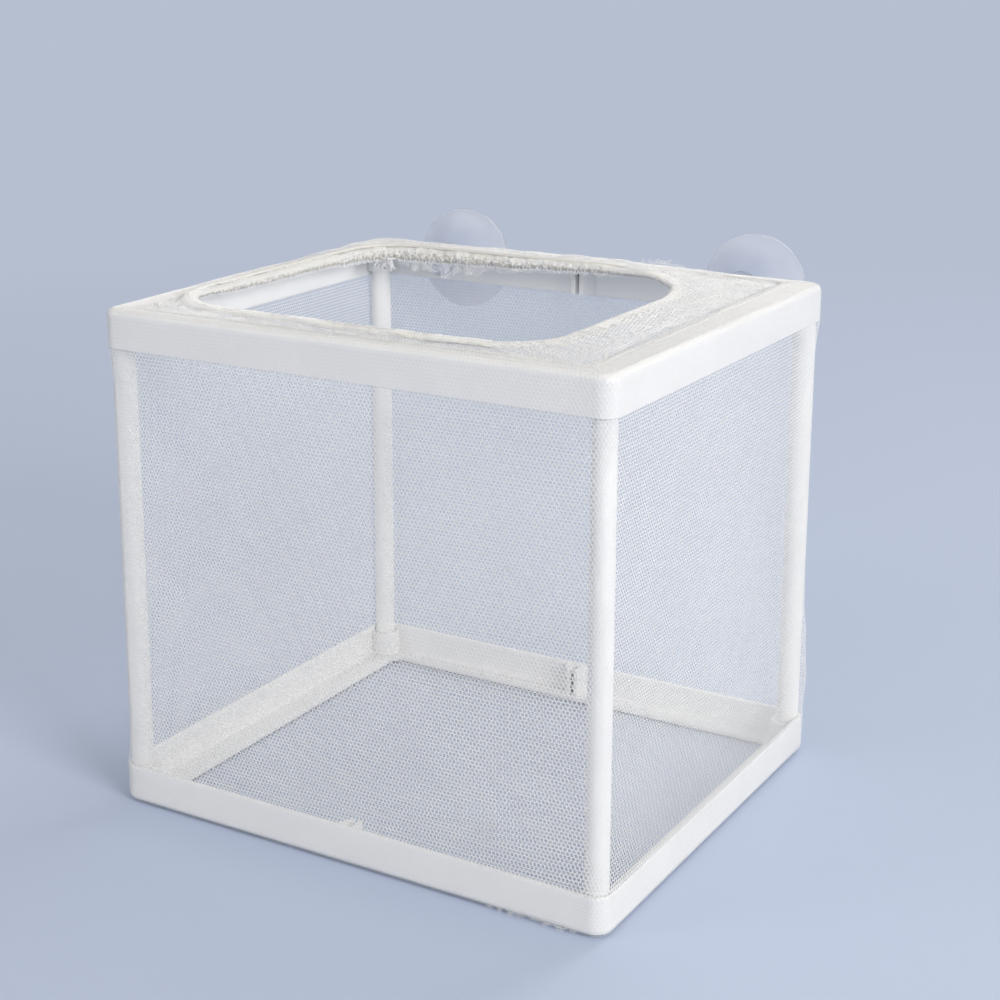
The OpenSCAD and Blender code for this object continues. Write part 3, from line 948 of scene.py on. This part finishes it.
def add_tuft():
    """A loose bunch of net loops under the back left corner of the hem."""
    middle, normal = HEM_LINE.at(np.array([CORNER_S[3]]))
    base = np.append(middle[0] - normal[0] * 3 * MM, HEM_MIDDLE_Z - 4.6 * MM)
    turn = np.linspace(0, 1.8 * np.pi, 15)
    paths = []
    for k in range(TUFT_LOOPS):
        at = base + np.array([hashed(k, j, 82) - 0.5 for j in range(3)]) * TUFT_SIZE
        radius = (0.7 + 0.9 * hashed(k, 4, 82)) * MM
        axis = Vector([hashed(k, j, 83) - 0.5 for j in range(3)]).normalized()
        one = np.array(axis.orthogonal().normalized())
        two = np.cross(np.array(axis), one)
        wobble = radius * (1 + 0.2 * np.sin(3 * turn + k))
        paths.append(at + wobble[:, None] * (np.cos(turn)[:, None] * one + np.sin(turn)[:, None] * two))
    return on_box(add_threads("hem_tuft", paths, TUFT_THREAD_R, GATHERED))


# ---- loose edges of net

FRILL_PITCH = (0.75 * MM, 0.68 * MM)
FRILL_STRAND = (0.14 * MM, 0.1 * MM)
FRILL_ROWS = 10
# Where the raw edge leaves the hem, as a share of the way round it.
FRILL_START = 0.66
# Lobes of the hem's raw edge on the back side: where each is along X, its half width and its length.
LOBES = ((-4, 5, 0.7), (-22, 4, 1.2), (-34, 5, 2.3), (-45, 6, 3.9), (-56, 3, 2.4))


def frill_length(u):
    """How far the net's raw edge comes out under the hem."""
    size = HemSize(u)
    length = (1.1 - 0.3 * size.fat) * MM + 0.3 * MM * ripple(u, 2.3 * MM, 61)
    # On the left the edge is sewn under.
    length = length * (1 - 0.9 * stretch(u, (3, 2), (3, 12), (4, -8), (4, 0)))
    xy = HEM_LINE.at(u)[0]
    for at, wide, tall in LOBES:
        length = length + tall * MM * bump(xy[:, 0] - at * MM, wide * MM) * (xy[:, 1] > 0) * size.fat
    return length


def frill_surface(u, v):
    """The raw edge hangs from the fat part of the hem, and stands inwards from the flat part."""
    start = hem_shape(0, HEM_SEED)(u, u * 0 + FRILL_START)
    _, normal = HEM_LINE.at(u)
    fat = HemSize(u).fat
    ruffle = np.sin(2 * np.pi * u / (5.2 * MM) + 2 * ripple(u, 8 * MM, 62))
    sideways = -(1 - fat) * 0.9 * v + ruffle * v * 0.35
    xy = start[:, :2] + normal * sideways[:, None]
    z = start[:, 2] - fat * v + (1 - fat) * 0.35 * v * ruffle
    return np.concatenate([xy, z[:, None]], -1)


def add_frill():
    columns = round(HEM_LINE.length / FRILL_PITCH[0])
    pitch = (HEM_LINE.length / columns, FRILL_PITCH[1])
    cells = net_cells(columns, FRILL_ROWS)
    u, v = cell_places(cells, pitch)
    cells = cells[v < frill_length(u)]
    obj = add_net("hem_frill", cells, pitch, frill_surface, GATHERED, strand=FRILL_STRAND, untidy=0.25)
    return on_box(obj)


def add_seam(name, start, end, out, height, seed):
    """A ragged strip of net that stands out of a seam."""
    start, end, out = (np.array(p) for p in (start, end, out))
    length = np.linalg.norm(end - start)
    along = (end - start) / length
    across = np.cross(along, out)

    def surface(u, v):
        ruffle = 0.5 * v * smooth_noise(u / (1.7 * MM), v / MM, seed)
        return start + along * u[:, None] + out * v[:, None] + across * ruffle[:, None]

    cells = net_cells(round(length / FRILL_PITCH[0]), 3)
    u, v = cell_places(cells, FRILL_PITCH)
    reach = height * np.sin(np.pi * np.clip(u / length, 0, 1)) ** 0.5
    reach = reach * (0.55 + 0.75 * ripple(u, 1.2 * MM, seed + 1))
    obj = add_net(name, cells[v < reach], FRILL_PITCH, surface, GATHERED, strand=FRILL_STRAND, untidy=0.3)
    return on_box(obj)


def add_seams():
    """The bag's seam shows in two places, by the name of the piece that each belongs to."""
    low_edge = (0.2 * MM - RING_HALF.y, 1.5 * MM)
    low = [add_seam("front_seam", (44 * MM, *low_edge), (73 * MM, *low_edge), (0, -0.6, -0.8), 1.3 * MM, 71)]
    edge = (RING_HALF.y - 1 * MM, RING_TOP + 0.7 * MM)
    high = [add_seam("back_seam", (19 * MM, *edge), (35 * MM, *edge), (0, 0.4, 0.92), 1.9 * MM, 72)]
    return {"front_netting_c": low, "back_netting_b": high}


add_walls(add_seams())
add_bottom()
add_top()
add_hem([*add_stitching(), add_picots(), add_tuft(), add_frill()])

# ---- the suction cups

CUP_DISH_POWER = 1.35


def cup_profile(length, rim_r):
    """A cup's section, from its mushroom head to the middle of its dish."""
    head_r, stem_r, shoulder_r, waist_r = 3.8 * MM, 2.5 * MM, 6.5 * MM, 5 * MM
    head_end, shoulder_y = 3 * MM, 5.9 * MM
    dish_y = shoulder_y + 4.5 * MM
    depth, thick, lip = 6.5 * MM, 1.2 * MM, 1.4 * MM
    corners = [
        (0.01 * MM, 0, 0),
        (1.9 * MM, 0, 0.8 * MM),
        (head_r, 1.5 * MM, 0.8 * MM),
        (head_r, head_end, 0.4 * MM),
        (stem_r, head_end, 0.3 * MM),
        (stem_r, shoulder_y, 0.15 * MM),
        (shoulder_r, shoulder_y, 0.5 * MM),
        (shoulder_r, shoulder_y + 1.5 * MM, 0.5 * MM),
        (waist_r, shoulder_y + 1.5 * MM, 0.5 * MM),
        (waist_r, dish_y, 1.0 * MM),
    ]
    steps = 22

    def dish(t):
        return waist_r + (rim_r - waist_r) * t, dish_y + depth * (1 - (1 - t) ** CUP_DISH_POWER)

    for k in range(1, steps):
        corners.append((*dish(k / steps), 0))
    corners += [
        (rim_r - 0.1 * MM, length - thick, 0.2 * MM),
        (rim_r, length - thick / 2, 0.4 * MM),
        (rim_r - 0.15 * MM, length, 0.2 * MM),
        (rim_r - lip, length, 0.3 * MM),
    ]
    reach = 1 - lip / (rim_r - waist_r)
    for k in range(steps, 0, -1):
        r, y = dish(reach * k / steps)
        # Two fine moulded rings inside the lip help it to seal.
        ridge = sum(bump(r - rim_r + at, 0.35 * MM) for at in (3.2 * MM, 5.4 * MM))
        corners.append((r, y + thick + 0.18 * MM * ridge, 0))
    corners.append((waist_r * 0.8, dish_y + thick, 0.6 * MM))
    corners.append((0.01 * MM, dish_y + thick * 0.8, 0))
    return rounded_profile(corners)


for side in ("left", "right"):
    node = f"{side}_suction_cup"
    low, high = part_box(node)
    cup = add_lathe(f"{side}_cup", cup_profile(high.y - low.y, (high.x - low.x) / 2), VINYL)
    cup.location = ((low.x + high.x) / 2, low.y, (low.z + high.z) / 2)
    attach(cup, f"{side}_cup")
    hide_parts(node)

# ---- the stage

FLOOR_R = 12
FLOOR_COLOUR = (0.50, 0.57, 0.725)
# What the floor looks like far from the lamps, and the backdrop behind it.
DISTANT_COLOUR = (0.47, 0.52, 0.635)
# Between these distances from the middle the floor's lit colour gives way to that one.
FLOOR_FADE = (0.25, 0.95)
# What the lamps face.
MIDDLE = Vector((0, 0, 0.075))
# Each lamp's name, place, diameter, power in watts and colour.
LAMPS = (
    ("key", (1.25, -0.5, 0.58), 0.7, 14.2, (1, 0.975, 0.93)),
    ("fill", (-1.0, -1.2, 0.8), 0.9, 4.9, (1, 0.98, 0.95)),
    ("back", (0.2, 1.2, 1.1), 0.8, 7.5, (1, 0.98, 0.94)),
)


def seen_directly(tree):
    """1 for what the camera sees, also by reflection or through vinyl, and 0 for light on the box."""
    path = tree.nodes.new("ShaderNodeLightPath")
    total = path.outputs["Is Camera Ray"]
    for ray in ("Is Glossy Ray", "Is Transmission Ray"):
        node = tree.nodes.new("ShaderNodeMath")
        node.operation = "ADD"
        node.use_clamp = True
        tree.links.new(total, node.inputs[0])
        tree.links.new(path.outputs[ray], node.inputs[1])
        total = node.outputs[0]
    return total


def stage_material():
    """A matt floor whose lit colour gives way to a constant one, well outside the object's shadow."""
    m = Material("stage", 0.9, Specular_IOR_Level=0.1, Base_Color=(*FLOOR_COLOUR, 1))
    distant = m.add("ShaderNodeEmission")
    fill_in(distant, Color=(*DISTANT_COLOUR, 1))
    far = m.spread(m.distance(m.place), 0, 1, source=FLOOR_FADE)
    share = m.add("ShaderNodeMath", operation="MULTIPLY")
    m.link(far, share.inputs[0])
    m.link(seen_directly(m.tree), share.inputs[1])
    blend = m.add("ShaderNodeMixShader")
    m.link(share.outputs[0], blend.inputs[0])
    m.link(m.shader.outputs[0], blend.inputs[1])
    m.link(distant.outputs[0], blend.inputs[2])
    m.link(blend.outputs[0], m.tree.nodes["Material Output"].inputs["Surface"])
    return m.material


def add_stage():
    """A wide round floor. The world behind it has the colour of its far parts."""
    angle = np.linspace(0, 2 * np.pi, 64, endpoint=False)
    points = FLOOR_R * np.stack([np.cos(angle), np.sin(angle), 0 * angle], -1)
    add_mesh("floor", points, [range(64)], stage_material())


def add_world():
    world = bpy.data.worlds.new("studio")
    world.use_nodes = True
    tree = world.node_tree
    light = tree.nodes["Background"]
    fill_in(light, Color=(1, 0.985, 0.955, 1), Strength=0.5)
    backdrop = tree.nodes.new("ShaderNodeBackground")
    fill_in(backdrop, Color=(*DISTANT_COLOUR, 1))
    blend = tree.nodes.new("ShaderNodeMixShader")
    tree.links.new(seen_directly(tree), blend.inputs[0])
    tree.links.new(light.outputs[0], blend.inputs[1])
    tree.links.new(backdrop.outputs[0], blend.inputs[2])
    tree.links.new(blend.outputs[0], tree.nodes["World Output"].inputs["Surface"])
    bpy.context.scene.world = world


def add_light(name, place, size, power, colour):
    """A round soft lamp."""
    light = bpy.data.lights.new(name, "AREA")
    light.shape = "DISK"
    light.size = size
    light.energy = power
    light.color = colour
    obj = add_object(name, light)
    obj.location = place
    obj.rotation_mode = "QUATERNION"
    obj.rotation_quaternion = (MIDDLE - Vector(place)).to_track_quat("-Z", "Y")


add_stage()
for lamp in LAMPS:
    add_light(*lamp)
add_world()

# ---- the camera

# Fitted to the corners of the rings in the photograph.
CAMERA_AT = (0.2711, -0.4563, 0.2506)
# Azimuth, elevation and roll, in degrees.
CAMERA_TURN = (31.58, 14.43, -0.21)
# The focal length as a share of the sensor's width.
FOCAL_SHARE = 1.8905
CAMERA_SHIFT = (0.0535, -0.0899)


def add_camera():
    data = bpy.data.cameras.new("camera")
    data.sensor_width = 36
    data.lens = FOCAL_SHARE * data.sensor_width
    data.shift_x, data.shift_y = CAMERA_SHIFT
    obj = add_object("camera", data)
    azimuth, elevation, roll = (math.radians(a) for a in CAMERA_TURN)
    turn = Matrix.Rotation(azimuth, 4, "Z") @ Matrix.Rotation(math.pi / 2 - elevation, 4, "X")
    obj.matrix_world = Matrix.Translation(CAMERA_AT) @ turn @ Matrix.Rotation(roll, 4, "Z")
    bpy.context.scene.camera = obj


add_camera()
bpy.context.scene.view_settings.view_transform = "Standard"
